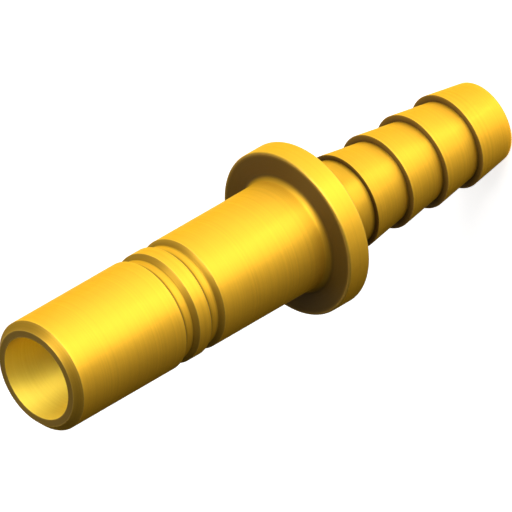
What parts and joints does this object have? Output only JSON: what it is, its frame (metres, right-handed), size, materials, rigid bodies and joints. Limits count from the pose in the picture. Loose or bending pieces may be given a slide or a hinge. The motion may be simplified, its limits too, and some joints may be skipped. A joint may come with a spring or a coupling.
{
  "type": "hose to stem adapter",
  "caption": "Turned brass adapter that joins a hose pushed over its barbed tail to a fitting that grips its plain grooved tube stem, with a flange between them.",
  "frame": {"origin": "centre of the hose tail's flat end face, which the part stands on", "axes": "+Z along the turning axis, from the hose tail up to the stem's open end; the part is round about Z, so X and Y are free"},
  "size_m": [0.0224, 0.0224, 0.0787],
  "materials": {
    "brass": "fine turned, satin"
  },
  "bodies": {
    "root": {"adapter_body": "brass"}
  },
  "joints": []
}
